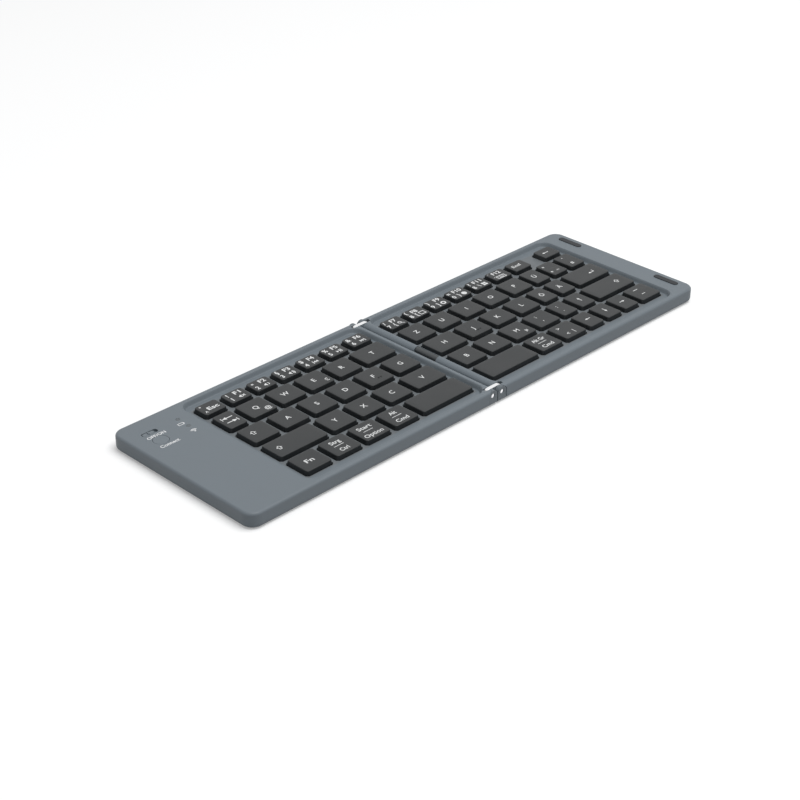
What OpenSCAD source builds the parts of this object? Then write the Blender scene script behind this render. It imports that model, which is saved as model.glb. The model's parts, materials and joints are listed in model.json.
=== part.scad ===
// Two-part folding keyboard, shown opened flat.
// Millimetres. Origin: on the table, under the middle of the fold line. +X runs along the right half,
// +Y towards the function row, +Z up. Each half is drawn outwards from the fold and mirrored for the left.

/* [Keys] */
// Width of one letter key's cell
key_pitch = 18; // [17:0.1:19]
// Depth of one letter key's cell
row_pitch = 16.95; // [16:0.05:18]
// Depth of the function row's cells
function_row = 12.6; // [11.5:0.1:14]
// Width of a narrow cell at the right end of the rows
narrow_cell = 13.75; // [13:0.05:15]
// Gap between the bases of two neighbouring keycaps
key_gap = 2.4; // [1.8:0.1:3]
// How far each side of a keycap draws in towards its top
key_taper = 0.52; // [0.3:0.02:0.8]
// Corner radius at the base of a keycap
key_r = 1.8; // [1:0.1:2.2]
// Wall of a keycap
key_wall = 0.9; // [0.7:0.1:1.1]
// How far the keycaps stay below the deck
key_drop = 0.2; // [0.1:0.05:0.5]
// How far a key travels
key_travel = 1.5; // [1:0.1:1.8]
// How far the skirts reach below the floor of the well
key_skirt = 0.5; // [0.2:0.05:0.6]
// Clearance between a keycap and its hole
key_clear = 0.3; // [0.2:0.05:0.45]

/* [Case] */
// Height of the case without its feet
case_h = 7.8; // [7.4:0.1:9]
// Width of the blank control panel, from the case's end to the well
panel_w = 37.2; // [34:0.1:45]
// Width of the front and back rims
rim_w = 4.05; // [3.6:0.05:6]
// Floor strip between the keys and the front or back wall of the well
well_front = 3.75; // [2.5:0.05:5]
// Floor strip between the left block of keys and the control panel
well_side = 1.6; // [0.5:0.1:3]
// Floor strip between the keys and the fold's rim
well_fold = 0.32; // [0.2:0.02:1]
// Width of the rim along the fold
fold_rim = 4.63; // [4.3:0.01:6]
// Depth of the well
well_depth = 2.4; // [2:0.1:2.8]
// Corner radius of the case in plan
corner_r = 6; // [4:0.5:9]
// Rounding of the top edges
edge_r = 1.4; // [1:0.1:2.4]
// Rounding of the bottom edges
bottom_r = 2; // [1:0.1:2.1]
// How far the well's walls lean out from its outline to the deck
well_lean = 1.4; // [1:0.1:1.4]
// How far the foot of the well's walls runs inside its outline
well_foot = 0.5; // [0.3:0.05:0.6]
// Corner radius of the well in plan
well_r = 5; // [4:0.5:6]
// Side wall of the case
wall = 1.4; // [1.2:0.1:1.8]
// Thickness of the deck over the electronics
deck_t = 1.2; // [1:0.1:1.5]
// Thickness of the floor of the well
web_t = 0.8; // [0.6:0.1:1]
// Thickness of the bottom cover's floor
floor_t = 1; // [0.9:0.1:1.2]
// Height of the bottom cover's rim
cover_h = 2.2; // [2.1:0.1:2.4]

/* [Fold] */
// Gap between the halves
fold_gap = 0.5; // [0.4:0.05:0.8]
// Rounding of the fold edges about their pins
hinge_r = 2.85; // [2.7:0.05:3]
// Radius of the hinge pins
pin_r = 0.9; // [0.7:0.05:1]
// Running clearance of a link on its pins
pin_clear = 0.05; // [0.02:0.01:0.1]
// Radius of a pin's head
head_r = 1.2; // [1.15:0.05:1.4]
// Thickness of a hinge link
link_t = 2; // [1.4:0.1:2.2]
// Thickness of a hinge ear
ear_t = 2.2; // [1.3:0.1:2.3]
// How far the hinge ears stand back from the front and back faces
ear_sink = 0.2; // [0.05:0.05:0.6]
// Clearance beside a link
link_side = 0.15; // [0.1:0.05:0.3]
// Length of a hinge bracket's leaf
leaf_l = 12; // [11:0.5:16]

/* [Controls] */
// Distance of the switch and button column from the case's end
control_u = 12.4; // [11:0.05:14]
// Distance of the slide switch from the back edge
switch_v = 12.9; // [12:0.1:13]
// Length of the slide switch's slot
slot_l = 8.5; // [7.5:0.1:9]
// Width of the slide switch's slot
slot_w = 2.8; // [2.2:0.1:3.4]
// Length of the slide switch's knob
knob_l = 6.3; // [3.5:0.1:6.6]
// Distance of the Connect button from the back edge
button_v = 21.1; // [21:0.1:22.5]
// Radius of the Connect button
button_r = 3.7; // [3:0.1:4]
// How far the Connect button travels
button_travel = 0.4; // [0.2:0.05:0.5]
// Distance of the indicator column from the case's end
lamp_u = 28.7; // [28:0.1:29.5]
// Distance of the first indicator from the back edge
lamp_v = 12.6; // [11.5:0.1:13]
// Distance between the two indicators
lamp_pitch = 7.7; // [6:0.1:9]
// Radius of an indicator window
lamp_r = 1.1; // [0.6:0.1:1.4]
// Distance of the charging socket from the case's end
socket_u = 19.9; // [19.5:0.1:20.5]
// Length of a rubber pad
pad_l = 14.8; // [12:0.1:20]
// Width of a rubber pad
pad_w = 3.2; // [2.6:0.1:4]
// How far the pads stand out of the deck
pad_out = 0.35; // [0.1:0.05:0.35]
// Distance of the pads from the middle of the keyboard's depth
pad_v = 32.6; // [30:0.1:34]
// Distance of the pads and magnets from the case's end
pad_in = 5.4; // [4.6:0.1:6]

/* [Inside] */
// How far the feet stand out
foot_out = 0.4; // [0.3:0.1:1]
// Radius of a foot
foot_r = 4; // [3:0.5:5]
// Distance of the feet from the front and back edges
foot_in = 11; // [10:0.5:14]
// Thickness of the key plate
plate_t = 0.3; // [0.2:0.05:0.4]
// Thickness of the contact membrane
sheet_t = 0.25; // [0.15:0.05:0.3]
// Height of a rubber dome
dome_h = 2.1; // [1.8:0.1:2.4]
// Thickness of the circuit board
board_t = 0.8; // [0.6:0.1:1]
// Height of the battery
battery_h = 3.6; // [3:0.1:3.8]
// Length of the battery along the keyboard's depth
battery_l = 50; // [40:1:52]
// Width of the flex cable
flex_w = 12; // [8:1:15]
// Thickness of the flex cable
flex_t = 0.2; // [0.1:0.05:0.3]

/* [Hidden] */

// Clearances: a seat that touches or laps, a close gap, a loose gap
fit = 0.05;
near = 0.1;
loose = 0.3;

// Heights
base_z = foot_out;
floor_z = base_z + floor_t;
part_z = base_z + cover_h;
deck_z = base_z + case_h;
deck_under = deck_z - deck_t;
well_z = deck_z - well_depth;
web_z = well_z - web_t;
key_z = deck_z - key_drop;
skirt_z = well_z - key_skirt;
press_clear = 0.15;
sheet_z = skirt_z - key_travel - press_clear;
plate_z = sheet_z - sheet_t - plate_t;

// Plan: u runs outwards from the fold line, v along the keyboard's depth
fold_end = fold_gap / 2 + fold_rim;
block_u = fold_end + well_fold;
left_block = 6 * key_pitch;
right_block = 5 * key_pitch + 3 * narrow_cell;
half_l = block_u + left_block + well_side + panel_w;
left_well = half_l - panel_w;
right_well_side = 0.6;
right_well = block_u + right_block + right_well_side;
block_v = (function_row + 4 * row_pitch) / 2;
well_v = block_v + well_front;
half_w = well_v + rim_w;
well_wall = 1.4;
hole_in = key_gap / 2 - key_clear;
frame_u = (fold_end + well_foot + block_u + hole_in) / 2;
frame_v = block_v - 2 * near;
arc_steps = 8;

// Rows from front to back: cell widths from the left edge of each block
row_v = [for (i = [0:4]) -block_v + i * row_pitch];
row_d = [row_pitch, row_pitch, row_pitch, row_pitch, function_row];
function_cell = left_block / 7;
left_cells = [
    [key_pitch, key_pitch, key_pitch, key_pitch, 2 * key_pitch],
    [1.75 * key_pitch, key_pitch, key_pitch, key_pitch, 1.25 * key_pitch],
    [for (i = [0:5]) key_pitch],
    [0.75 * key_pitch, key_pitch, key_pitch, key_pitch, key_pitch, 1.25 * key_pitch],
    [for (i = [0:6]) function_cell]];
right_cells = [
    [2 * key_pitch, key_pitch, key_pitch, narrow_cell, narrow_cell, narrow_cell, key_pitch],
    [key_pitch, key_pitch, key_pitch, key_pitch, narrow_cell, narrow_cell,
        right_block - 4 * key_pitch - 2 * narrow_cell],
    [1.25 * key_pitch, key_pitch, key_pitch, key_pitch, narrow_cell, narrow_cell,
        right_block - 4.25 * key_pitch - 2 * narrow_cell],
    [for (i = [0:7]) i < 5 ? key_pitch : narrow_cell],
    [for (i = [0:7]) function_cell]];
backspace_index = 7;

// Under the keys
plate_rim = 0.8;
plate_v = block_v + plate_rim;
key_top_t = 1;
plunger_r = 1.4;
dome_r = 2.2;
dome_top_r = 1.2;
scissor_bar = 0.8;
scissor_in = 2.2;
rib_t = 1;
first_rib = flex_w / 2 + 4;
last_rib = plate_v - 2;
rib_v = [first_rib, (first_rib + last_rib) / 2, last_rib];

// Fold, from the outside in: ear, link, lug
pin_u = fold_gap / 2 + hinge_r;
pin_z = deck_z - hinge_r;
link_r = hinge_r - fit;
ear_out = half_w - ear_sink;
ear_in = ear_out - ear_t;
link_out = ear_in - link_side;
link_in = link_out - link_t;
lug_t = 1.8;
lug_out = link_in - link_side;
lug_in = lug_out - lug_t;
lug_r = pin_r + 1;
leaf_z = floor_z + fit;
leaf_t = 0.9;
leaf_end = pin_u + hinge_r + leaf_l;
pocket_u = pin_u + hinge_r + near;
head_sink = 0.2;
head_t = 0.5;
pin_end = ear_out - head_sink;
bracket_hole_in = 2.6;
bracket_screw_u = [pocket_u + bracket_hole_in, leaf_end - bracket_hole_in];
bracket_screw_v = (lug_in + link_out) / 2;

// Screws: radii of the hole, the thread and the head, then the cross recess
hole_r = 0.8;
thread_r = 0.7;
screw_head_r = 1.5;
screw_head_t = 0.7;
screw_l = 4;
recess = [1.8, 0.35, 0.7];
boss_r = 2;
boss_inset = 6;
boss_v = half_w - boss_inset;
boss_blind = 0.5;
boss_clear = 1;
left_bosses = [[half_l - boss_inset, boss_v], [left_well + well_wall + boss_r + boss_clear, boss_v]];
right_bosses = [[half_l - boss_inset, boss_v]];

// Feet, magnets, pads
inner_foot = 8;
outer_foot = 18;
feet_u = [block_u + inner_foot, half_l - outer_foot];
feet_v = half_w - foot_in;
foot_sink = 0.5;
pad_u = half_l - pad_in;
pad_sink = 0.6;
magnet_v = 14;
magnet_size = [4, 12, 1.4];

// Electronics in the control panel
bay_in = left_well + well_wall;
bay_out = half_l - wall;
bay_clear = 1.1;
bay_r = 1.5;
battery_in = 10;
battery_v = half_w - battery_in;
battery_gap = 4;
board_lift = 0.6;
board_edge = 0.4;
board_z = floor_z + board_lift;
board_top = board_z + board_t;
board_v0 = battery_l - battery_v + battery_gap;
board_v1 = half_w - wall - board_edge;
board_r = corner_r - wall - board_edge;
board_in = bay_in + bay_clear;
rest_l = 26;

// Controls
control_x = half_l - control_u;
switch_y = half_w - switch_v;
button_y = half_w - button_v;
lamp_x = half_l - lamp_u;
lamp_y = [half_w - lamp_v, half_w - lamp_v - lamp_pitch];
// Pieces on the board: inner end, distance from the board's front edge, length, depth and height
board_parts = [[lamp_x + 1.3, 6, 5, 5, 0.9], [lamp_x + 9.3, 4, 3, 1.2, 0.8], [board_in + 1, 1, 2.5, 6, 1.2]];
knob_gap = 0.4;
knob_rest = (slot_l - knob_l) / 2 - knob_gap;
knob_side = 0.3;
// Rib across the knob: thickness, length, and how far it stands above the deck
knob_rib = [0.7, slot_w - 2 * knob_side - 0.6, 0.3];
slider_t = 0.5;
slider_lap = [0.2, 0.8];
slider_l = slot_l + 2 * (knob_rest + slider_lap[0]);
slider_w = slot_w + 2 * slider_lap[1];
finger = [1.6, 1.2];
button_side = 0.15;
button_t = 0.7;
button_lip = 0.7;
stem_r = 1.2;
switch_size = [9, 3.6, 2.6];
tact_size = [4, 4, 1.6];
lamp_size = [1.6, 1.6, 0.8];
socket_x = half_l - socket_u;
socket_h = 3;
socket_w = 9;
socket_d = 7;
socket_t = 0.3;
socket_z = board_top + socket_h / 2;
tongue = [6.6, 0.7];
tongue_back = 0.7;

// Flex cable: under the plates from the board, across the fold, up to the right half's plate
flex_lift = 0.35;
flex_reach = 9;
flex_z = floor_z + flex_lift;
flex_end = fold_end + flex_reach;
flex_pad = 3;
flex_arm = 7.2;
flex_tip = 1.3;

// Guard over the flex cable: how far its slot runs past the cable in front and behind, how far its face
// lies inside the fold's rounding, how far its top lies below the deck, how deep it reaches below the pins
guard_past = [0.7, 1.95];
guard_sink = 0.95;
guard_drop = 0.15;
guard_depth = 1.5;
guard_v = [-flex_w / 2 - guard_past[0], flex_w / 2 + guard_past[1]];
guard_r = hinge_r - guard_sink;
guard_z = pin_z - guard_depth;
guard_top = deck_z - guard_drop;
window_u = pin_u + loose;

function arc(cx, cy, r, from, to) =
    [for (i = [0:arc_steps]) let (a = from + (to - from) * i / arc_steps)
        [cx + r * cos(a), cy + r * sin(a)]];
function sum_to(v, n) = n == 0 ? 0 : v[n - 1] + sum_to(v, n - 1);
// Left edge of a cell in the row frame: the left block runs towards the fold, the right one away from it
function cell_x(left, row, i) =
    left ? -block_u - left_block + sum_to(left_cells[row], i)
    : row == 4 && i == backspace_index ? block_u + right_block - function_cell
    : block_u + sum_to(right_cells[row], i);
function cells(left, row) = left ? left_cells[row] : right_cells[row];

module left_side() mirror([1, 0, 0]) children();
module both_ends() {
    children();
    mirror([0, 1, 0]) children();
}
// A profile drawn in (u, z), carried along the depth from v0 to v1
module along_v(v0, v1) translate([0, v1, 0]) rotate([90, 0, 0]) linear_extrude(v1 - v0) children();
// A profile drawn in (v, z), carried outwards from u0 to u1
module along_u(u0, u1) translate([u0, 0, 0]) rotate([90, 0, 90]) linear_extrude(u1 - u0) children();
module block(u0, u1, v0, v1, z0, z1) translate([u0, v0, z0]) cube([u1 - u0, v1 - v0, z1 - z0]);
// A block of the size [length, depth, height], standing on z0 about the point (u, v)
module stood(u, v, z0, size) translate([u - size[0] / 2, v - size[1] / 2, z0]) cube(size);
module post(u, v, z0, z1, r) translate([u, v, z0]) cylinder(r = r, h = z1 - z0, $fn = 96);
// A block with upright corners of radius r
module round_block(u0, u1, v0, v1, z0, z1, r) {
    block(u0 + r, u1 - r, v0, v1, z0, z1);
    block(u0, u1, v0 + r, v1 - r, z0, z1);
    for (u = [u0 + r, u1 - r]) for (v = [v0 + r, v1 - r]) post(u, v, z0, z1, r);
}

// A block whose two upright corners at the outer end have the radius r
module end_block(u0, u1, v0, v1, z0, z1, r) {
    block(u0, u1 - r, v0, v1, z0, z1);
    block(u0, u1, v0 + r, v1 - r, z0, z1);
    for (v = [v0 + r, v1 - r]) post(u1 - r, v, z0, z1, r);
}
// The hollow inside the side walls, from u0 outwards
module hollow(u0, z0, z1)
    end_block(u0, bay_out, wall - half_w, half_w - wall, z0, z1, corner_r - wall);

// One half of the keyboard as a full solid, from z0 to z1, with its outer edges rounded
module half_body(z0, z1, top_r, low_r) {
    low = low_r > 0 ? arc(0, low_r, low_r, 270, 360) : [[0, 0]];
    high = top_r > 0 ? arc(0, -top_r, top_r, 0, 90) : [[0, 0]];
    edge = concat([for (p = low) [p[0] - low_r, z0 + p[1]]], [for (p = high) [p[0] - top_r, z1 + p[1]]]);
    straight = half_l - corner_r;
    side = [for (p = edge) [half_w + p[0], p[1]]];
    along_u(fold_gap / 2, straight)
        polygon(concat(side, [for (i = [len(side) - 1:-1:0]) [-side[i][0], side[i][1]]]));
    along_v(corner_r - half_w, half_w - corner_r)
        polygon(concat([[straight, z0]], [for (p = edge) [half_l + p[0], p[1]]], [[straight, z1]]));
    for (s = [-1, 1])
        translate([straight, s * (half_w - corner_r), 0])
            rotate([0, 0, s > 0 ? 0 : -90])
                rotate_extrude(angle = 90, $fn = 96)
                    polygon(concat([[0, z0]], [for (p = edge) [corner_r + p[0], p[1]]], [[0, z1]]));
}

// What the rounded fold edge takes away
module fold_rounding() along_v(-half_w - 1, half_w + 1)
    polygon(concat([[-1, pin_z], [fold_gap / 2, pin_z]],
        arc(pin_u, pin_z, hinge_r, 180, 90), [[pin_u, deck_z + 1], [-1, deck_z + 1]]));

// The recess that the keys stand in: its walls rise in a smooth slope, level at the foot and at the deck
module well_cut(u1) {
    foot = well_foot;
    steps = 2 * arc_steps;
    flare = concat([[-foot - 0.5, deck_z + 1], [-foot - 0.5, well_z]],
        [for (i = [0:steps]) [(foot + well_lean) * i / steps - foot,
            well_z + well_depth * (1 - cos(180 * i / steps)) / 2]],
        [[well_lean, deck_z + 1]]);
    round_block(fold_end + foot, u1 - foot, foot - well_v, well_v - foot, well_z, deck_z + 1, well_r - foot);
    along_v(well_r - well_v, well_v - well_r) {
        polygon([for (p = flare) [u1 + p[0], p[1]]]);
        polygon([for (p = flare) [fold_end - p[0], p[1]]]);
    }
    both_ends() {
        along_u(fold_end + well_r, u1 - well_r) polygon([for (p = flare) [well_v + p[0], p[1]]]);
        for (c = [[fold_end + well_r, 90], [u1 - well_r, 0]])
            translate([c[0], well_v - well_r, 0]) rotate([0, 0, c[1]])
                rotate_extrude(angle = 90, $fn = 96)
                    polygon([for (p = flare) [well_r + p[0], p[1]]]);
    }
}

// The holes that the keycaps sink through
module key_holes(left) {
    for (row = [0:4]) for (i = [0:len(cells(left, row)) - 1])
        key_place(left, row, i) {
            a = cells(left, row)[i] / 2 - hole_in;
            b = row_d[row] / 2 - hole_in;
            c = (key_r + key_clear) * (2 - sqrt(2));
            translate([0, 0, web_z - 1]) linear_extrude(web_t + 2)
                polygon([[a - c, b], [c - a, b], [-a, b - c], [-a, c - b],
                    [c - a, -b], [a - c, -b], [a, c - b], [a, b - c]]);
        }
}

// Children stand at the middle of one key's cell, in the row frame
module key_place(left, row, i)
    translate([cell_x(left, row, i) + cells(left, row)[i] / 2, row_v[row] + row_d[row] / 2, 0])
        children();

module tab_profile(r, u0, z0)
    polygon(concat([[u0, z0], [pin_u + r, z0]], arc(pin_u, pin_z, r, 0, 90), arc(pin_u, pin_z, r, 90, 180),
        [[u0, pin_z]]));
module hinge_cuts() both_ends() {
    block(-1, pocket_u, lug_out, ear_in, base_z - 1, deck_z + 1);
    along_v(ear_in, half_w + 1) tab_profile(hinge_r + near, -1, base_z - 1);
    along_v(lug_in - near, lug_out) tab_profile(lug_r + near, pin_u - lug_r - near, base_z - 1);
}

// The top case of one half, a ring round the keys with a ledge inside it: u1 is the well's outer end
module top_case(u1, length, bosses) {
    difference() {
        union() {
            difference() {
                half_body(part_z, deck_z, edge_r, 0);
                fold_rounding();
                well_cut(u1);
                frame_block(length, web_z - 1, well_z + 1);
                hollow(fold_end, part_z - 1, web_z);
                hollow(u1 + well_wall, part_z - 1, deck_under);
            }
            both_ends() {
                block(fold_end + well_r, u1 - well_r, block_v - near, plate_v - near, sheet_z + fit,
                    web_z + fit);
                for (b = bosses) post(b[0], b[1], floor_z + fit, deck_under + fit, boss_r);
            }
        }
        both_ends() for (b = bosses) post(b[0], b[1], base_z, deck_under - boss_blind, thread_r);
        hinge_cuts();
    }
}

// The floor of the well inside the ledge, round a block of keys of the given length
module frame_block(length, z0, z1)
    block(frame_u, block_u + length - hole_in / 2, -frame_v, frame_v, z0, z1);

module bottom_cover(u1, bosses) {
    difference() {
        union() {
            difference() {
                half_body(base_z, part_z, 0, bottom_r);
                hollow(fold_gap / 2 + wall, floor_z, part_z + 1);
            }
            both_ends() for (k = rib_v)
                block(feet_u[0], u1 - outer_foot, k - rib_t / 2, k + rib_t / 2,
                    floor_z - fit, plate_z - fit);
        }
        both_ends() {
            block(-1, pocket_u, lug_in - near, half_w + 1, floor_z, part_z + 1);
            for (u = feet_u) post(u, feet_v, base_z - 1, base_z + foot_sink, foot_r + near);
            for (b = bosses) screw_hole(b[0], b[1]);
            for (u = bracket_screw_u) screw_hole(u, bracket_screw_v);
        }
        block(-1, fold_end, -flex_w / 2 - near, flex_w / 2 + near, floor_z, part_z + 1);
    }
}

module screw_hole(u, v) {
    post(u, v, base_z - 1, floor_z + 1, hole_r);
    translate([u, v, base_z]) cylinder(r1 = screw_head_r + near, r2 = hole_r, h = screw_head_t, $fn = 96);
}
module screw(u, v, top) {
    difference() {
        union() {
            post(u, v, base_z, top, thread_r - near / 5);
            translate([u, v, base_z])
                cylinder(r1 = screw_head_r, r2 = thread_r, h = screw_head_t, $fn = 96);
        }
        for (a = [0, 90]) translate([u, v, base_z]) rotate([0, 0, a]) cube(recess, center = true);
    }
}
module cover_screws(bosses) both_ends() {
    for (b = bosses) screw(b[0], b[1], base_z + screw_l);
    for (u = bracket_screw_u) screw(u, bracket_screw_v, leaf_z + leaf_t);
}

module hinge_brackets() both_ends() difference() {
    union() {
        along_v(ear_in, ear_out) tab_profile(hinge_r, pin_u - hinge_r, leaf_z);
        along_v(lug_in, lug_out) tab_profile(lug_r, pin_u - lug_r, leaf_z);
        block(pin_u - hinge_r, pin_u + hinge_r, lug_in, ear_out, leaf_z, leaf_z + leaf_t);
        block(pin_u + hinge_r - fit, leaf_end, lug_in, link_out, leaf_z, leaf_z + leaf_t);
    }
    hinge_bore(lug_in - 1, ear_out + 1, pin_r + near / 5);
    hinge_bore(pin_end - head_t - fit, ear_out + 1, head_r + fit);
    for (u = bracket_screw_u) post(u, bracket_screw_v, leaf_z - 1, leaf_z + leaf_t + 1, thread_r);
}
module hinge_bore(v0, v1, r)
    translate([pin_u, v1, pin_z]) rotate([90, 0, 0]) cylinder(r = r, h = v1 - v0, $fn = 64);
module hinge_pins() both_ends() {
    hinge_bore(lug_in, pin_end - head_t + fit, pin_r);
    hinge_bore(pin_end - head_t, pin_end, head_r);
}
module hinge_link() difference() {
    along_v(link_in, link_out) polygon(concat(
        arc(pin_u, pin_z, link_r, -90, 90), arc(-pin_u, pin_z, link_r, 90, 270)));
    for (s = [0, 1]) mirror([s, 0, 0]) hinge_bore(link_in - 1, link_out + 1, pin_r + pin_clear);
}

module key_plate(u1) block(fold_end + near, u1 - loose, -plate_v, plate_v, plate_z, plate_z + plate_t);
module membrane(u1) block(fold_end + 2 * near, u1 - loose - near, near - plate_v, plate_v - near,
    sheet_z - sheet_t, sheet_z);
module domes(left) for (row = [0:4]) for (i = [0:len(cells(left, row)) - 1])
    key_place(left, row, i) translate([0, 0, sheet_z])
        cylinder(r1 = dome_r, r2 = dome_top_r, h = dome_h, $fn = 36);
module scissors(left) for (row = [0:4]) for (i = [0:len(cells(left, row)) - 1])
    key_place(left, row, i) scissor(cells(left, row)[i] - key_gap, row_d[row] - key_gap);
module scissor(w, d) {
    bar = scissor_bar;
    sx = w - 2 * scissor_in;
    sy = d - 2 * scissor_in;
    low = sheet_z + fit;
    high = key_z - key_top_t - fit;
    rise = high - low - bar;
    for (s = [-1, 1]) translate([s * sx / 2, 0, (low + high) / 2]) for (k = [-1, 1])
        rotate([k * atan2(rise, sy), 0, 0]) cube([bar, norm([sy, rise]), bar], center = true);
    for (s = [-1, 1]) for (z = [low + bar / 2, high - bar / 2])
        translate([0, s * sy / 2, z]) cube([sx + bar, bar, bar], center = true);
}
module magnets() both_ends() stood(pad_u, magnet_v, deck_under - fit - magnet_size[2], magnet_size);
module feet() both_ends() for (u = feet_u) post(u, feet_v, 0, base_z + foot_sink - fit, foot_r);

// A keycap: four tapered corners and two tapered slabs, hollow below, with a plunger over the dome
module keycap(w, d) {
    in = key_taper;
    difference() {
        union() {
            for (x = [-1, 1]) for (y = [-1, 1])
                translate([x * (w / 2 - key_r), y * (d / 2 - key_r), skirt_z])
                    cylinder(r1 = key_r, r2 = key_r - in, h = key_z - skirt_z, $fn = 32);
            along_v(key_r - d / 2, d / 2 - key_r)
                polygon([[-w / 2, skirt_z], [w / 2, skirt_z], [w / 2 - in, key_z], [in - w / 2, key_z]]);
            along_u(key_r - w / 2, w / 2 - key_r)
                polygon([[-d / 2, skirt_z], [d / 2, skirt_z], [d / 2 - in, key_z], [in - d / 2, key_z]]);
        }
        ix = w / 2 - in - key_wall;
        iy = d / 2 - in - key_wall;
        block(-ix, ix, -iy, iy, skirt_z - 1, key_z - key_top_t);
    }
    post(0, 0, sheet_z + dome_h + fit, key_z - key_top_t + fit, plunger_r);
}
module keys(left, row, picks) color([0.2, 0.21, 0.22]) for (i = picks)
    key_place(left, row, i) keycap(cells(left, row)[i] - key_gap, row_d[row] - key_gap);

module slot_shape(l, w, z0, z1, r) round_block(-l / 2, l / 2, -w / 2, w / 2, z0, z1, r);
module socket_shape(w, h, v0, v1) translate([socket_x, v1, socket_z]) rotate([90, 0, 0])
    slot_shape(w, h, 0, v1 - v0, h / 2 - fit);

module left_top_case() color([0.48, 0.51, 0.53]) left_side() difference() {
    top_case(left_well, left_block, left_bosses);
    translate([control_x, switch_y, 0])
        slot_shape(slot_l, slot_w, deck_under - 1, deck_z + 1, slot_w / 2 - knob_side);
    post(control_x, button_y, deck_under - 1, deck_z + 1, button_r + button_side);
    for (y = lamp_y) post(lamp_x, y, deck_under - 1, deck_z + 1, lamp_r + fit);
    socket_shape(socket_w + 2 * near, socket_h + 2 * near, half_w - wall - 1, half_w + 1);
}
module left_key_frame() color([0.46, 0.49, 0.51]) difference() {
    left_side() frame_block(left_block, web_z, well_z);
    key_holes(true);
}
module left_bottom_cover() color([0.44, 0.47, 0.49]) left_side() {
    bottom_cover(left_well, left_bosses);
    for (v = [board_v0 + boss_inset, boss_v - boss_inset])
        stood((bay_in + bay_out) / 2, v, floor_z - fit,
            [rest_l, rib_t, board_z - floor_z + fit - near / 5]);
}
module left_key_plate() color("silver") left_side() key_plate(left_well);
module left_membrane() color("whitesmoke") left_side() membrane(left_well);
module left_domes() color("gainsboro") domes(true);
module left_scissors() color("white") scissors(true);
module left_magnets() color("dimgray") left_side() magnets();
module left_feet() color([0.1, 0.1, 0.1]) left_side() feet();
module left_screws() color("gray") left_side() cover_screws(left_bosses);
module left_hinge_brackets() color([0.45, 0.48, 0.5]) left_side() hinge_brackets();
module left_hinge_pins() color("silver") left_side() hinge_pins();
module battery() color("lightsteelblue") left_side() round_block(board_in, bay_out - bay_clear,
    -battery_v, battery_l - battery_v, floor_z + near, floor_z + near + battery_h, bay_r);
module controller_board() color("darkgreen") left_side() difference() {
    union() {
        end_block(board_in, bay_out - bay_clear, board_v0, board_v1, board_z, board_top, board_r);
        translate([0, board_v0, board_top - fit]) for (p = board_parts)
            translate([p[0], p[1], 0]) cube([p[2], p[3], p[4] + fit]);
    }
    for (b = left_bosses) post(b[0], b[1], board_z - 1, board_top + 1, boss_r + loose);
}
module charging_socket() color("silver") left_side() {
    back = half_w - near;
    difference() {
        socket_shape(socket_w, socket_h, back - socket_d, back);
        socket_shape(socket_w - 2 * socket_t, socket_h - 2 * socket_t, back - socket_d + 1, half_w + 1);
    }
    translate([socket_x - tongue[0] / 2, back - socket_d + 1 - fit, socket_z - tongue[1] / 2])
        cube([tongue[0], socket_d - 1 + fit - tongue_back, tongue[1]]);
}
module power_switch() color("dimgray") left_side() stood(control_x, switch_y, board_top, switch_size);
module connect_switch() color("dimgray") left_side() stood(control_x, button_y, board_top, tact_size);
module indicator_lamps() color("ivory") left_side() for (y = lamp_y) stood(lamp_x, y, board_top, lamp_size);
module light_pipes() color([0.8, 0.85, 0.9, 0.6]) left_side() for (y = lamp_y)
    post(lamp_x, y, board_top + lamp_size[2] + near, deck_z - fit, lamp_r);
module power_slider() color([0.5, 0.53, 0.55]) left_side() translate([control_x + knob_rest, switch_y, 0]) {
    under = deck_under - near;
    finger_z = board_top + switch_size[2] + near;
    slot_shape(knob_l, slot_w - 2 * knob_side, under - fit, deck_z - near, slot_w / 2 - 2 * knob_side);
    stood(0, 0, deck_z - near - fit, [knob_rib[0], knob_rib[1], near + fit + knob_rib[2]]);
    stood(0, 0, under - slider_t, [slider_l, slider_w, slider_t]);
    stood(0, 0, finger_z, [finger[0], finger[1], under - slider_t + fit - finger_z]);
}
module connect_button() color([0.5, 0.53, 0.55]) left_side() {
    low = deck_under - button_t;
    post(control_x, button_y, low, deck_z, button_r);
    post(control_x, button_y, low, deck_under - near, button_r + button_lip);
    post(control_x, button_y, board_top + tact_size[2] + button_travel + near, low + fit, stem_r);
}
module front_hinge_link() color("silver") mirror([0, 1, 0]) hinge_link();
module rear_hinge_link() color("silver") hinge_link();

module right_top_case() color([0.48, 0.51, 0.53]) difference() {
    top_case(right_well, right_block, right_bosses);
    both_ends() translate([pad_u, pad_v, 0])
        slot_shape(pad_w + 2 * near, pad_l + 2 * near, deck_z - pad_sink, deck_z + 1, pad_w / 2);
    block(-1, window_u, guard_v[0], guard_v[1], guard_z, deck_z + 1);
}
module right_key_frame() color([0.46, 0.49, 0.51]) difference() {
    frame_block(right_block, web_z, well_z);
    key_holes(false);
}
module right_bottom_cover() color([0.44, 0.47, 0.49]) bottom_cover(right_well, right_bosses);
module right_key_plate() color("silver") key_plate(right_well);
module right_membrane() color("whitesmoke") membrane(right_well);
module right_domes() color("gainsboro") domes(false);
module right_scissors() color("white") scissors(false);
module right_magnets() color("dimgray") magnets();
module right_feet() color([0.1, 0.1, 0.1]) feet();
module right_screws() color("gray") cover_screws(right_bosses);
module right_hinge_brackets() color([0.45, 0.48, 0.5]) hinge_brackets();
module right_hinge_pins() color("silver") hinge_pins();
module rubber_pads() color([0.25, 0.25, 0.26]) both_ends() translate([pad_u, pad_v, 0])
    slot_shape(pad_w, pad_l, deck_z - pad_sink, deck_z + pad_out, pad_w / 2 - near);
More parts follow.
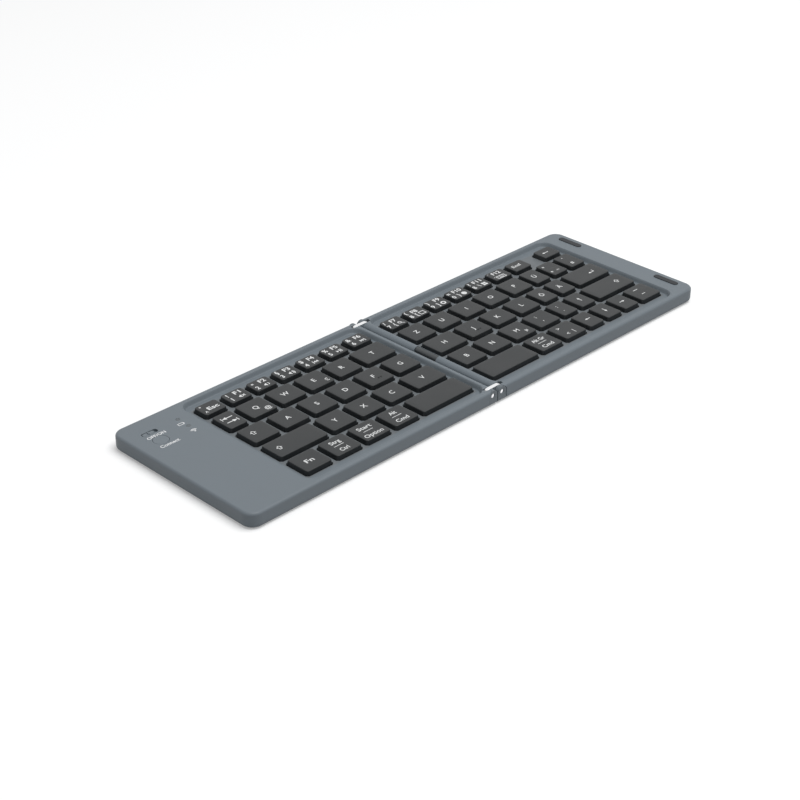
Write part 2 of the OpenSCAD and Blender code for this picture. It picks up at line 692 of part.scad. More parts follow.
module flex_guard() color([0.12, 0.12, 0.13]) along_v(guard_v[0] + near, guard_v[1] - near)
    polygon(concat([[pin_u - guard_r, guard_z + fit], [window_u - fit, guard_z + fit],
        [window_u - fit, guard_top]], arc(pin_u, guard_top - guard_r, guard_r, 90, 180)));
module flex_cable() color([0.55, 0.3, 0.1]) {
    arm = -board_in;
    under = flex_z + flex_t;
    block(arm, flex_end, -flex_w / 2, flex_w / 2, flex_z, under);
    block(arm, arm + flex_arm, flex_w / 2 - fit, board_v0 + flex_pad, flex_z, under);
    block(arm - flex_tip, arm + fit, board_v0, board_v0 + flex_pad, flex_z, under);
    block(flex_end - flex_pad, flex_end, -flex_w / 2, flex_w / 2, flex_z, plate_z - near);
}

module left_function_keys() keys(true, 4, [1:6]);
module left_upper_keys() keys(true, 3, [1:5]);
module left_home_keys() keys(true, 2, [1:5]);
module left_lower_keys() keys(true, 1, [1:4]);
module left_modifier_keys() keys(true, 0, [0:3]);
module escape_key() keys(true, 4, [0]);
module tab_key() keys(true, 3, [0]);
module caps_lock_key() keys(true, 2, [0]);
module left_shift_key() keys(true, 1, [0]);
module left_space_key() keys(true, 0, [4]);
module right_function_keys() keys(false, 4, [0:6]);
module right_upper_keys() keys(false, 3, [0:7]);
module right_home_keys() keys(false, 2, [0:5]);
module right_lower_keys() keys(false, 1, [0:4]);
module right_modifier_keys() keys(false, 0, [1, 2, 6]);
module arrow_keys() {
    keys(false, 0, [3:5]);
    keys(false, 1, [5]);
}
module backspace_key() keys(false, 4, [backspace_index]);
module enter_key() keys(false, 2, [6]);
module right_shift_key() keys(false, 1, [6]);
module right_space_key() keys(false, 0, [0]);

left_top_case();
left_key_frame();
left_bottom_cover();
left_key_plate();
left_membrane();
left_domes();
left_scissors();
left_magnets();
left_feet();
left_screws();
left_hinge_brackets();
left_hinge_pins();
battery();
controller_board();
charging_socket();
power_switch();
connect_switch();
indicator_lamps();
light_pipes();
power_slider();
connect_button();
front_hinge_link();
rear_hinge_link();
right_top_case();
right_key_frame();
right_bottom_cover();
right_key_plate();
right_membrane();
right_domes();
right_scissors();
right_magnets();
right_feet();
right_screws();
right_hinge_brackets();
right_hinge_pins();
rubber_pads();
flex_guard();
flex_cable();
left_function_keys();
left_upper_keys();
left_home_keys();
left_lower_keys();
left_modifier_keys();
escape_key();
tab_key();
caps_lock_key();
left_shift_key();
left_space_key();
right_function_keys();
right_upper_keys();
right_home_keys();
right_lower_keys();
right_modifier_keys();
arrow_keys();
backspace_key();
enter_key();
right_shift_key();
right_space_key();
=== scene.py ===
import json
import math

import bpy
import numpy as np
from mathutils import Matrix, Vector

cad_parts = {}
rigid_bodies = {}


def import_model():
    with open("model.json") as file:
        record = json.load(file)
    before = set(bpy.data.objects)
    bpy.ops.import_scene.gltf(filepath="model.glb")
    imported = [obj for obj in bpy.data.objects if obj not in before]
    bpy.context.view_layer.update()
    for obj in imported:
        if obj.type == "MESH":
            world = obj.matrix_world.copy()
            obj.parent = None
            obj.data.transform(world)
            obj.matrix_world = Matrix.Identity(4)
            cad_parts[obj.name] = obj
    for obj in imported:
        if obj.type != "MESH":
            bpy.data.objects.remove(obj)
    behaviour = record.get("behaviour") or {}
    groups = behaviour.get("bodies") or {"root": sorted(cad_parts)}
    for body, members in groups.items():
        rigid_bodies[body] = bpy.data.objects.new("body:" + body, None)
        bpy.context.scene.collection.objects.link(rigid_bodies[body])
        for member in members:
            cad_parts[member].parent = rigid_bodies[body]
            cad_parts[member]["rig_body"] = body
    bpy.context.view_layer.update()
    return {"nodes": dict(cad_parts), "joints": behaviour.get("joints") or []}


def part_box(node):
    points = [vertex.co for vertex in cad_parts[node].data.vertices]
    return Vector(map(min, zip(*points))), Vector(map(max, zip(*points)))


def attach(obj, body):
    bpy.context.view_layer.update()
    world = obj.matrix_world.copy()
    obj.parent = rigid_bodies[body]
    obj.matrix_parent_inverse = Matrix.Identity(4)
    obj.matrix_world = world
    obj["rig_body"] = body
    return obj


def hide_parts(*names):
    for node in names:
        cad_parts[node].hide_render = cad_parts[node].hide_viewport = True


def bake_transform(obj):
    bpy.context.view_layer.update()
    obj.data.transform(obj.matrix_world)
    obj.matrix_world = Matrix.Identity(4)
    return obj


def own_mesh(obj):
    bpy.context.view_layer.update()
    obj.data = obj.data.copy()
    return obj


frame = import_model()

MM = 0.001

# Heights that the frame's boxes give, in metres, and the nodes that are keys
DECK_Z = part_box("left_top_case")[1].z
KEY_NODES = sorted(n for n in frame["nodes"] if n.endswith("_key") or n.endswith("_keys"))
SHEET_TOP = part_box("left_membrane")[1].z
DOME_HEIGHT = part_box("left_domes")[1].z - SHEET_TOP


# Camera, light and floor. The lens and the sensor are in millimetres, as on a real camera.

CAMERA_PLACE = (-0.54102, -0.52430, 0.41738)
CAMERA_AZIMUTH = -45
CAMERA_ELEVATION = 30
LENS = 80
SENSOR = 36
NEAREST, FARTHEST = 0.01, 20
FLOOR_SIZE = 6.0


def look_from(azimuth, elevation):
    """The unit vector from the object back to a camera that stands at these angles, in degrees."""
    a, e = math.radians(azimuth), math.radians(elevation)
    return Vector((math.sin(a) * math.cos(e), -math.cos(a) * math.cos(e), math.sin(e)))


def stand(name, data, place, back):
    """A camera or a light that stands at a place and looks against the vector back."""
    thing = bpy.data.objects.new(name, data)
    bpy.context.scene.collection.objects.link(thing)
    thing.location = place
    thing.rotation_mode = "QUATERNION"
    thing.rotation_quaternion = (-back).to_track_quat("-Z", "Y")
    return thing


def add_camera():
    """The photograph's own view of the object."""
    data = bpy.data.cameras.new("camera")
    data.lens, data.sensor_width = LENS, SENSOR
    data.clip_start, data.clip_end = NEAREST, FARTHEST
    back = look_from(CAMERA_AZIMUTH, CAMERA_ELEVATION)
    bpy.context.scene.camera = stand("camera", data, CAMERA_PLACE, back)


def add_area_light(name, azimuth, elevation, distance, size, power):
    """A square soft box that stands at these angles round the object and faces its middle."""
    data = bpy.data.lights.new(name, "AREA")
    data.shape, data.size, data.energy = "SQUARE", size, power
    back = look_from(azimuth, elevation)
    stand(name, data, back * distance, back)


def background_rays(tree):
    """1 for the rays that see the background: from the camera, from gloss and through glass."""
    path = tree.nodes.new("ShaderNodeLightPath")
    most = path.outputs["Is Camera Ray"]
    for name in ("Is Glossy Ray", "Is Transmission Ray"):
        step = tree.nodes.new("ShaderNodeMath")
        step.operation = "MAXIMUM"
        tree.links.new(most, step.inputs[0])
        tree.links.new(path.outputs[name], step.inputs[1])
        most = step.outputs[0]
    return most


def part_by_ray(tree, lit, seen, out):
    """Shows the shader seen to the background's rays, and the shader lit to all others."""
    mix = tree.nodes.new("ShaderNodeMixShader")
    tree.links.new(background_rays(tree), mix.inputs["Fac"])
    tree.links.new(lit.outputs[0], mix.inputs[1])
    tree.links.new(seen.outputs[0], mix.inputs[2])
    tree.links.new(mix.outputs[0], out.inputs["Surface"])


SKY_LEVEL = 0.34
SKY_TINT = (0.98, 0.99, 1, 1)
FLOOR_COLOUR = 0.80
FLOOR_GLOW = 0.29
FLOOR_BOUNCE = 0.42


def add_world():
    """A white room to the camera and in reflections, and a soft even sky to everything else."""
    world = bpy.data.worlds.new("soft_room")
    bpy.context.scene.world = world
    world.use_nodes = True
    tree = world.node_tree
    tree.nodes.clear()
    white, sky = tree.nodes.new("ShaderNodeBackground"), tree.nodes.new("ShaderNodeBackground")
    white.inputs["Color"].default_value = (1, 1, 1, 1)
    white.inputs["Strength"].default_value = 1.0
    sky.inputs["Color"].default_value = SKY_TINT
    sky.inputs["Strength"].default_value = SKY_LEVEL
    part_by_ray(tree, sky, white, tree.nodes.new("ShaderNodeOutputWorld"))


def add_floor():
    """A matt floor, pale with a little glow to the background's rays, so that it ends white and
    still keeps the object's shadow, and greyer to the light that it throws on the object."""
    material = bpy.data.materials.new("pale_floor")
    material.use_nodes = True
    tree = material.node_tree
    tree.nodes.clear()
    pale, grey = tree.nodes.new("ShaderNodeBsdfDiffuse"), tree.nodes.new("ShaderNodeBsdfDiffuse")
    for shader, level in ((pale, FLOOR_COLOUR), (grey, FLOOR_BOUNCE)):
        shader.inputs["Color"].default_value = (level, level, level, 1)
    glow = tree.nodes.new("ShaderNodeEmission")
    glow.inputs["Strength"].default_value = FLOOR_GLOW
    both = tree.nodes.new("ShaderNodeAddShader")
    tree.links.new(pale.outputs[0], both.inputs[0])
    tree.links.new(glow.outputs[0], both.inputs[1])
    part_by_ray(tree, grey, both, tree.nodes.new("ShaderNodeOutputMaterial"))
    corners = outline(FLOOR_SIZE / 2, FLOOR_SIZE / 2)[:-1]
    mesh = bpy.data.meshes.new("floor")
    mesh.from_pydata([(x, y, 0) for x, y in corners], [], [(0, 1, 2, 3)])
    floor = bpy.data.objects.new("floor", mesh)
    bpy.context.scene.collection.objects.link(floor)
    mesh.materials.append(material)


# Shader groups that several finishes share

def group_with(name, inputs, outputs):
    """An empty shader group with its input and output nodes, from (name, default) pairs."""
    tree = bpy.data.node_groups.new(name, "ShaderNodeTree")
    for label, value in inputs:
        kind = "NodeSocketVector" if value is None else "NodeSocketFloat"
        socket = tree.interface.new_socket(label, in_out="INPUT", socket_type=kind)
        if value is not None:
            socket.default_value = value
    for label in outputs:
        tree.interface.new_socket(label, in_out="OUTPUT", socket_type="NodeSocketFloat")
    return tree, tree.nodes.new("NodeGroupInput"), tree.nodes.new("NodeGroupOutput")


def maths(tree, operation, *values):
    """A Math node. Each value is a number or a socket."""
    node = tree.nodes.new("ShaderNodeMath")
    node.operation = operation
    for slot, value in zip(node.inputs, values):
        if isinstance(value, (int, float)):
            slot.default_value = value
        else:
            tree.links.new(value, slot)
    return node.outputs[0]


def ranged(tree, value, start=0.0, end=1.0, low=0.0, high=1.0):
    """Runs from low to high as the value goes from start to end."""
    node = tree.nodes.new("ShaderNodeMapRange")
    limits = {"From Min": start, "From Max": end, "To Min": low, "To Max": high}
    for label, limit in limits.items():
        node.inputs[label].default_value = limit
    tree.links.new(value, node.inputs["Value"])
    return node.outputs["Result"]


NOISE_ROUGHNESS = 0.55


def noise(tree, vector, scale, detail=3.0):
    """Noise at the scale that a socket gives, in features per metre."""
    node = tree.nodes.new("ShaderNodeTexNoise")
    node.inputs["Detail"].default_value = detail
    node.inputs["Roughness"].default_value = NOISE_ROUGHNESS
    tree.links.new(vector, node.inputs["Vector"])
    tree.links.new(scale, node.inputs["Scale"])
    return node.outputs["Fac"]


def make_moulded_grain():
    """Spark-eroded mould grain. Height is rounded cells under fine noise, Patches is the slow
    unevenness of the finish, and Shine picks out the few smoother specks of the grain."""
    tree, given, out = group_with(
        "moulded_grain", [("Vector", None), ("Grain", 2500.0), ("Patch", 45.0)],
        ["Height", "Patches", "Shine"])
    fineness, cell_share, fine_share, speck_level = 2.3, 0.6, 0.5, 0.62
    patch_low, patch_high = 0.35, 0.65
    cells = tree.nodes.new("ShaderNodeTexVoronoi")
    cells.feature = "SMOOTH_F1"
    tree.links.new(given.outputs["Vector"], cells.inputs["Vector"])
    tree.links.new(given.outputs["Grain"], cells.inputs["Scale"])
    fine = noise(tree, given.outputs["Vector"],
                 maths(tree, "MULTIPLY", given.outputs["Grain"], fineness))
    height = maths(tree, "ADD", maths(tree, "MULTIPLY", cells.outputs["Distance"], cell_share),
                   maths(tree, "MULTIPLY", fine, fine_share))
    tree.links.new(height, out.inputs["Height"])
    slow = noise(tree, given.outputs["Vector"], given.outputs["Patch"], detail=4.0)
    tree.links.new(ranged(tree, slow, patch_low, patch_high), out.inputs["Patches"])
    specks = maths(tree, "GREATER_THAN", fine, speck_level)
    tree.links.new(specks, out.inputs["Shine"])
    return tree


def make_drawn_lines():
    """The fine lines that drawing and brushing leave in metal: noise squeezed across the lines.
    Lines is the slow streaks and Height the fine ones."""
    tree, given, out = group_with(
        "drawn_lines", [("Vector", None), ("Fineness", 1500.0)], ["Lines", "Height"])
    squeeze, coarse_share = 0.04, 0.3
    stretch = tree.nodes.new("ShaderNodeMapping")
    stretch.inputs["Scale"].default_value = (squeeze, 1.0, 1.0)
    tree.links.new(given.outputs["Vector"], stretch.inputs["Vector"])
    streaks = noise(tree, stretch.outputs["Vector"],
                    maths(tree, "MULTIPLY", given.outputs["Fineness"], coarse_share), detail=2.0)
    fine = noise(tree, stretch.outputs["Vector"], given.outputs["Fineness"], detail=2.0)
    tree.links.new(streaks, out.inputs["Lines"])
    tree.links.new(fine, out.inputs["Height"])
    return tree


GRAIN = make_moulded_grain()
LINES = make_drawn_lines()


# Finishes

def start_material(name):
    """A new material: its tree, its Principled shader and the piece's own coordinates."""
    material = bpy.data.materials.new(name)
    material.use_nodes = True
    tree = material.node_tree
    place = tree.nodes.new("ShaderNodeTexCoord").outputs["Object"]
    return material, tree, tree.nodes["Principled BSDF"], place


def use_group(tree, group, place, values):
    """A shader group in a material, with its values."""
    node = tree.nodes.new("ShaderNodeGroup")
    node.node_tree = group
    tree.links.new(place, node.inputs["Vector"])
    for label, value in values.items():
        node.inputs[label].default_value = value
    return node


def between(tree, factor, low, high, socket):
    """Runs a socket from low to high as the factor goes from 0 to 1."""
    tree.links.new(ranged(tree, factor, low=low, high=high), socket)


def mixed(tree, factor, low, high, blend="MIX"):
    """A colour that goes from low to high with the factor. Each is a colour or a socket."""
    mix = tree.nodes.new("ShaderNodeMix")
    mix.data_type, mix.blend_type = "RGBA", blend
    tree.links.new(factor, mix.inputs["Factor"])
    for label, colour in (("A", low), ("B", high)):
        if isinstance(colour, tuple):
            mix.inputs[label].default_value = (*colour, 1)
        else:
            tree.links.new(colour, mix.inputs[label])
    return mix.outputs["Result"]


def two_shades(tree, factor, colour, spread, socket):
    """Runs a colour socket between two near shades of one colour."""
    dark = tuple(c * (1 - spread) for c in colour)
    light = tuple(min(c * (1 + spread), 1) for c in colour)
    tree.links.new(mixed(tree, factor, dark, light), socket)


def raise_surface(tree, height, shader, strength, distance):
    """Raises a shader's surface by a height socket, at most by distance millimetres."""
    bump = tree.nodes.new("ShaderNodeBump")
    bump.inputs["Strength"].default_value = strength
    bump.inputs["Distance"].default_value = distance * MM
    tree.links.new(height, bump.inputs["Height"])
    tree.links.new(bump.outputs["Normal"], shader.inputs["Normal"])


SPECK_SHARE = 0.5
ROUGHNESS_SWING = 0.04


def moulded(name, colour, roughness, grain=0.4, depth=0.01, strength=0.35, spread=0.03, ior=1.5):
    """A moulded plastic or rubber. grain and depth are in millimetres."""
    material, tree, shader, place = start_material(name)
    texture = use_group(tree, GRAIN, place, {"Grain": 1 / (grain * MM)})
    two_shades(tree, texture.outputs["Patches"], colour, spread, shader.inputs["Base Color"])
    rough = maths(tree, "SUBTRACT", texture.outputs["Patches"],
                  maths(tree, "MULTIPLY", texture.outputs["Shine"], SPECK_SHARE))
    between(tree, rough, roughness - ROUGHNESS_SWING, roughness + ROUGHNESS_SWING,
            shader.inputs["Roughness"])
    raise_surface(tree, texture.outputs["Height"], shader, strength, depth)
    shader.inputs["IOR"].default_value = ior
    return material


def metal(name, colour, roughness, fineness=0.6, depth=0.004, strength=0.25, spread=0.04):
    """A bare or plated metal with drawn lines. fineness and depth are in millimetres."""
    material, tree, shader, place = start_material(name)
    smoothest, roughest = 0.7, 1.4
    texture = use_group(tree, LINES, place, {"Fineness": 1 / (fineness * MM)})
    two_shades(tree, texture.outputs["Lines"], colour, spread, shader.inputs["Base Color"])
    between(tree, texture.outputs["Lines"], roughness * smoothest, roughness * roughest,
            shader.inputs["Roughness"])
    raise_surface(tree, texture.outputs["Height"], shader, strength, depth)
    shader.inputs["Metallic"].default_value = 1.0
    return material


def paint_shade_on_ends(material, near_end, far_end, share):
    """Paints shade into a metal's colour towards its two ends along X, from near_end to far_end
    millimetres out from the middle, down to a share of its colour: painted shade and a painted dark
    reflection of the pocket on the rounded ends of a hinge link."""
    tree = material.node_tree
    shader = tree.nodes["Principled BSDF"]
    place = next(n for n in tree.nodes if n.bl_idname == "ShaderNodeTexCoord").outputs["Object"]
    split = tree.nodes.new("ShaderNodeSeparateXYZ")
    tree.links.new(place, split.inputs[0])
    outwards = maths(tree, "ABSOLUTE", split.outputs["X"])
    fade = ranged(tree, outwards, near_end * MM, far_end * MM)
    colour = shader.inputs["Base Color"].links[0].from_socket
    shaded_colour = mixed(tree, fade, colour, (share, share, share), "MULTIPLY")
    tree.links.new(shaded_colour, shader.inputs["Base Color"])


def printed(name, colour, roughness, track_colour, pitch=1.2):
    """A board or film with fine tracks: the borders of square cells, drawn in another colour."""
    material, tree, shader, place = start_material(name)
    unevenness, track_width, track_gloss, track_rise = 0.35, 0.06, 0.6, 0.02
    cells = tree.nodes.new("ShaderNodeTexVoronoi")
    cells.feature = "DISTANCE_TO_EDGE"
    cells.inputs["Scale"].default_value = 1 / (pitch * MM)
    cells.inputs["Randomness"].default_value = unevenness
    tree.links.new(place, cells.inputs["Vector"])
    track = maths(tree, "LESS_THAN", cells.outputs["Distance"], track_width)
    tree.links.new(mixed(tree, track, colour, track_colour), shader.inputs["Base Color"])
    between(tree, track, roughness, roughness * track_gloss, shader.inputs["Roughness"])
    raise_surface(tree, track, shader, strength=0.3, distance=track_rise)
    return material


def clear_moulding(name, colour, roughness, grain=0.2, clearness=0.4):
    """Clear plastic that is frosted a little. grain is in millimetres."""
    material, tree, shader, place = start_material(name)
    texture = use_group(tree, GRAIN, place, {"Grain": 1 / (grain * MM)})
    shader.inputs["Base Color"].default_value = (*colour, 1)
    between(tree, texture.outputs["Patches"], roughness - 0.03, roughness + 0.05,
            shader.inputs["Roughness"])
    raise_surface(tree, texture.outputs["Height"], shader, strength=0.2, distance=0.01)
    shader.inputs["Transmission Weight"].default_value = clearness
    return material


SLATE = (0.1455, 0.172, 0.194)


def slate(share):
    """The case's colour, made darker or lighter by a share."""
    return tuple(share * c for c in SLATE)


case_finish = moulded("slate_case", SLATE, 0.5, spread=0.025)
floor_finish = moulded("well_floor", (0.140, 0.155, 0.166), 0.52)
cover_finish = moulded("slate_cover", slate(0.96), 0.55, grain=0.6, depth=0.015)
control_finish = moulded("slate_control", slate(1.03), 0.48, grain=0.3)
key_top_finish = moulded("key_top", (0.0148, 0.0170, 0.0184), 0.46, grain=0.3, spread=0.05, ior=1.46)
key_skirt_finish = moulded("key_skirt", (0.0090, 0.0110, 0.0125), 0.42, grain=0.3, strength=0.2,
                           ior=1.45)
rubber_finish = moulded("pad_rubber", (0.0150, 0.0180, 0.0215), 0.7, grain=0.35, depth=0.02)
foot_finish = moulded("foot_rubber", (0.018, 0.018, 0.018), 0.75, grain=0.4, depth=0.02)
guard_finish = moulded("black_guard", (0.052, 0.058, 0.062), 0.5)
bracket_finish = moulded("painted_bracket", slate(0.82), 0.42, strength=0.15)
link_finish = metal("polished_link", (0.86, 0.87, 0.88), 0.16)
# Painted shade: the link's rounded ends are darkened in colour where the pocket shades them and
# shows dark in them.
paint_shade_on_ends(link_finish, near_end=4.3, far_end=5.1, share=0.12)
pin_finish = metal("polished_pin", (0.88, 0.88, 0.89), 0.14, fineness=0.3)
plate_finish = metal("steel_plate", (0.55, 0.55, 0.56), 0.4)
screw_finish = metal("black_steel", (0.20, 0.20, 0.21), 0.35, fineness=0.3)
magnet_finish = metal("nickel_plate", (0.52, 0.50, 0.46), 0.28)
socket_finish = metal("drawn_socket", (0.62, 0.62, 0.63), 0.3, fineness=0.3)
battery_finish = metal("battery_foil", (0.60, 0.61, 0.63), 0.45, fineness=2.5, depth=0.03)
board_finish = printed("circuit_board", (0.01, 0.09, 0.035), 0.45, (0.05, 0.22, 0.07))
membrane_finish = printed("contact_film", (0.62, 0.62, 0.60), 0.35, (0.30, 0.30, 0.30), pitch=2.4)
dome_finish = moulded("silicone_dome", (0.55, 0.55, 0.52), 0.4, grain=0.5, ior=1.42)
scissor_finish = moulded("nylon_scissor", (0.62, 0.62, 0.60), 0.45, grain=0.5)
switch_finish = moulded("switch_body", (0.02, 0.02, 0.021), 0.4, grain=0.3)
flex_finish = moulded("flex_film", (0.022, 0.021, 0.020), 0.35, grain=1.5)
lamp_finish = clear_moulding("clear_lamp", (0.82, 0.82, 0.75), 0.12)
window_finish = clear_moulding("frosted_window", (0.16, 0.19, 0.21), 0.22)
ink_finish = moulded("white_ink", (0.80, 0.81, 0.81), 0.55, grain=0.2, depth=0.004)
panel_ink_finish = moulded("pale_ink", (0.86, 0.87, 0.88), 0.55, grain=0.2, depth=0.004)


# Meshes from arrays

def new_piece(name, points, faces, finishes, finish_of_face, body, smooth_below=None):
    """An object from arrays: points (n, 3) in metres, and faces as lists of point indices.
    finish_of_face is one finish's index for each face. Faces are smooth, and with
    smooth_below, only across edges that turn less than that many degrees. Without a body
    the piece is left free, for what bends between two."""
    mesh = bpy.data.meshes.new(name)
    mesh.from_pydata(np.asarray(points, float).tolist(), [], [list(map(int, f)) for f in faces])
    for finish in finishes:
        mesh.materials.append(finish)
    mesh.polygons.foreach_set("material_index", np.asarray(finish_of_face, np.int32))
    mesh.polygons.foreach_set("use_smooth", np.ones(len(mesh.polygons), bool))
    mesh.update()
    piece = bpy.data.objects.new(name, mesh)
    bpy.context.scene.collection.objects.link(piece)
    if smooth_below is not None:
        mesh.set_sharp_from_angle(angle=math.radians(smooth_below))
    if body is not None:
        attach(piece, body)
    return piece


def joined(shapes):
    """Several (points, faces, finish) shapes as one: points stacked, faces renumbered. A
    shape's finish is one index for all its faces, or one for each."""
    counts = np.cumsum([0] + [len(points) for points, _, _ in shapes])
    points = np.concatenate([points for points, _, _ in shapes])
    faces = [[i + first for i in face] for (_, group, _), first in zip(shapes, counts)
             for face in group]
    finish = np.concatenate([np.broadcast_to(index, len(group)) for _, group, index in shapes])
    return points, faces, finish


def closed_skin(grid, first_pole, last_pole):
    """Points and faces of a skin over rings of points, (rings, around, 3), each closed on
    itself: quads between neighbours, then a fan from the first ring to its pole, then one
    from the last."""
    rings, around = grid.shape[:2]
    i, j = np.meshgrid(np.arange(rings - 1), np.arange(around), indexing="ij")
    k = (j + 1) % around
    quads = np.stack([i * around + j, i * around + k, (i + 1) * around + k,
                      (i + 1) * around + j], -1).reshape(-1, 4)
    j, k = j[0], k[0]
    pole, last = rings * around, (rings - 1) * around
    start = np.stack([np.full(around, pole), k, j], -1)
    end = np.stack([np.full(around, pole + 1), last + j, last + k], -1)
    points = np.concatenate([grid.reshape(-1, 3), [first_pole, last_pole]])
    return points, [*quads.tolist(), *start.tolist(), *end.tolist()]


MIN_TURN = 0.3


def rounded_rings(half_x, half_y, radius, inset, height, share, corner=6):
    """Rings of a rounded rectangle, (rings, points, 3). Each ring is the outline of half sizes
    (half_x, half_y) and corner radius, drawn in by its inset, shrunk towards the middle by
    its share and lifted to its height. A corner keeps a radius of at least MIN_TURN."""
    inset, height, share = (np.asarray(v, float)[:, None] for v in (inset, height, share))
    quarter = np.repeat(np.arange(4), corner + 1)
    angle = (quarter + np.tile(np.linspace(0, 1, corner + 1), 4)) * math.pi / 2
    side_x = np.where((quarter == 0) | (quarter == 3), 1.0, -1.0)
    side_y = np.where(quarter < 2, 1.0, -1.0)
    turn = np.maximum(radius - inset, MIN_TURN)
    x = share * (side_x * (half_x - inset - turn) + turn * np.cos(angle))
    y = share * (side_y * (half_y - inset - turn) + turn * np.sin(angle))
    return np.stack([x, y, np.broadcast_to(height, x.shape)], -1)


def lathe(profile, around=32):
    """A profile of (radius, height) points turned about Z, with a pole at each end."""
    profile = np.asarray(profile, float)
    angle = np.arange(around) * 2 * math.pi / around
    radius, height = profile[:, 0, None], profile[:, 1, None]
    x, y = radius * np.cos(angle), radius * np.sin(angle)
    grid = np.stack([x, y, np.broadcast_to(height, x.shape)], -1)
    return closed_skin(grid, (0, 0, profile[0, 1]), (0, 0, profile[-1, 1]))


def quarter_round(steps):
    """(sine, 1 - cosine) of a quarter turn in equal steps, both from 0 to 1."""
    angle = np.linspace(0, math.pi / 2, steps)
    return np.sin(angle), 1 - np.cos(angle)


# CAD meshes as arrays

def merged(node):
    """A CAD node's points and triangles with its doubles merged."""
    mesh = frame["nodes"][node].data
    points = np.empty(len(mesh.vertices) * 3)
    mesh.vertices.foreach_get("co", points)
    corners = np.empty(len(mesh.loops), int)
    mesh.loops.foreach_get("vertex_index", corners)
    points, same = np.unique(points.reshape(-1, 3), axis=0, return_inverse=True)
    triangles = same.ravel()[corners].reshape(-1, 3)
    a, b, c = triangles.T
    return points, triangles[(a != b) & (b != c) & (c != a)]


def solid_labels(points, triangles):
    """One label for all the points of a solid: the lowest index spreads along the edges."""
    label = np.arange(len(points))
    while True:
        spread = label.copy()
        np.minimum.at(spread, triangles.ravel(), np.repeat(label[triangles].min(1), 3))
        spread = spread[spread]
        if (spread == label).all():
            return label
        label = spread


def solids(node):
    """(points, triangles) of each solid in a CAD node."""
    points, triangles = merged(node)
    label = solid_labels(points, triangles)
    found = []
    for k in np.unique(label[triangles]):
        own = triangles[label[triangles[:, 0]] == k]
        used, renumbered = np.unique(own, return_inverse=True)
        found.append((points[used], renumbered.reshape(-1, 3)))
    return found


def solid_boxes(node):
    """(low corner, high corner) of each solid in a CAD node, from left to right."""
    boxes = [(points.min(0), points.max(0)) for points, _ in solids(node)]
    return sorted(boxes, key=lambda box: (box[0][0], box[0][1]))


def middle_of(node):
    """The middle of a CAD node's box, in millimetres."""
    low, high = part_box(node)
    return (low + high) / 2 / MM


# In degrees: faces this near to one plane are joined, and edges sharper than this rounded
FLAT_WITHIN = 0.5
HARD_EDGE = 35


def rounded_copy(node, finish, width):
    """A merged copy of a CAD node that stands for it, its hard edges rounded to width."""
    points, triangles = merged(node)
    source = frame["nodes"][node]
    piece = new_piece(node + "_finished", points, triangles, [finish],
                      np.zeros(len(triangles)), source["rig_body"])
    flat = piece.modifiers.new("join_flat_faces", "DECIMATE")
    flat.decimate_type, flat.angle_limit = "DISSOLVE", math.radians(FLAT_WITHIN)
    bevel = piece.modifiers.new("round_edges", "BEVEL")
    bevel.width, bevel.segments = width * MM, 3
    bevel.limit_method, bevel.angle_limit = "ANGLE", math.radians(HARD_EDGE)
    bevel.harden_normals = True
    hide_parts(node)


# Keycaps

KEY_CORNER = 1.8
KEY_TAPER = 0.52
KEY_WALL = 0.9
KEY_TOP_THICKNESS = 1.0
TOP_EDGE = 0.32
FOOT_EDGE = 0.08
CEILING_EDGE = 0.05
PLUNGER_R = 1.4
PLUNGER_BEVEL = 0.1
PLUNGER_SUNK = 0.1
DOME_GAP = 0.05
SKIRT, TOP, INK = 0, 1, 2

# How far out from the middle the rings of a cap's underside and of its flat top lie
UNDERSIDE_SHARES = [0.5, 0.97]
TOP_SHARES = [0.8, 0.55, 0.25]


def keycap(low, high):
    """A keycap of a box's size, in millimetres about the middle of its foot. One skin runs
    from the middle of the underside out to the wall, down, round the rim, up the tapered
    side, over the rounded top edge, where the top's finish starts, and back to the middle."""
    half_x, half_y = (high - low)[:2] / 2 / MM
    height = (high - low)[2] / MM
    run, rise = quarter_round(5)
    inner, ceiling = KEY_TAPER + KEY_WALL, height - KEY_TOP_THICKNESS
    side = height - TOP_EDGE
    lean = KEY_TAPER * side / height
    inset = np.concatenate([[inner] * 4, [KEY_WALL * 0.9, FOOT_EDGE, 0.0, lean / 2],
                            lean + (KEY_TAPER - lean + TOP_EDGE) * rise,
                            [KEY_TAPER + TOP_EDGE] * len(TOP_SHARES)])
    level = np.concatenate([[ceiling, ceiling, ceiling - CEILING_EDGE, 0.0],
                            [0.0, 0.0, FOOT_EDGE, side / 2],
                            side + TOP_EDGE * run, [height] * len(TOP_SHARES)])
    whole = np.ones(len(inset) - len(UNDERSIDE_SHARES) - len(TOP_SHARES))
    share = np.concatenate([UNDERSIDE_SHARES, whole, TOP_SHARES])
    grid = rounded_rings(half_x, half_y, KEY_CORNER, inset, level, share)
    points, faces = closed_skin(grid, (0, 0, ceiling), (0, 0, height))
    rings, around = grid.shape[:2]
    first_top_ring = rings - len(TOP_SHARES) - len(run) // 2 - 1
    band = np.concatenate([np.arange(rings - 1) >= first_top_ring, [False, True]])
    return points, faces, np.repeat(np.where(band, TOP, SKIRT), around)


def plunger(low, high):
    """The post under a keycap that presses the dome: bevelled at its foot, sunk into the cap."""
    foot = (SHEET_TOP + DOME_HEIGHT - low[2]) / MM + DOME_GAP
    top = (high - low)[2] / MM - KEY_TOP_THICKNESS + PLUNGER_SUNK
    return lathe([(PLUNGER_R - PLUNGER_BEVEL, foot), (PLUNGER_R, foot + PLUNGER_BEVEL),
                  (PLUNGER_R, top)], 20)


# Flat shapes for legends: (points (n, 2) in millimetres, triangles (m, 3)), seen from above

# The built-in letters' capital height at size 1, and how much they are thickened there
CAPITAL = 0.729
WEIGHT = 0.012
BOLD = 0.024
# A triangle of a smaller area, in square millimetres, counts as empty
EMPTY = 1e-7


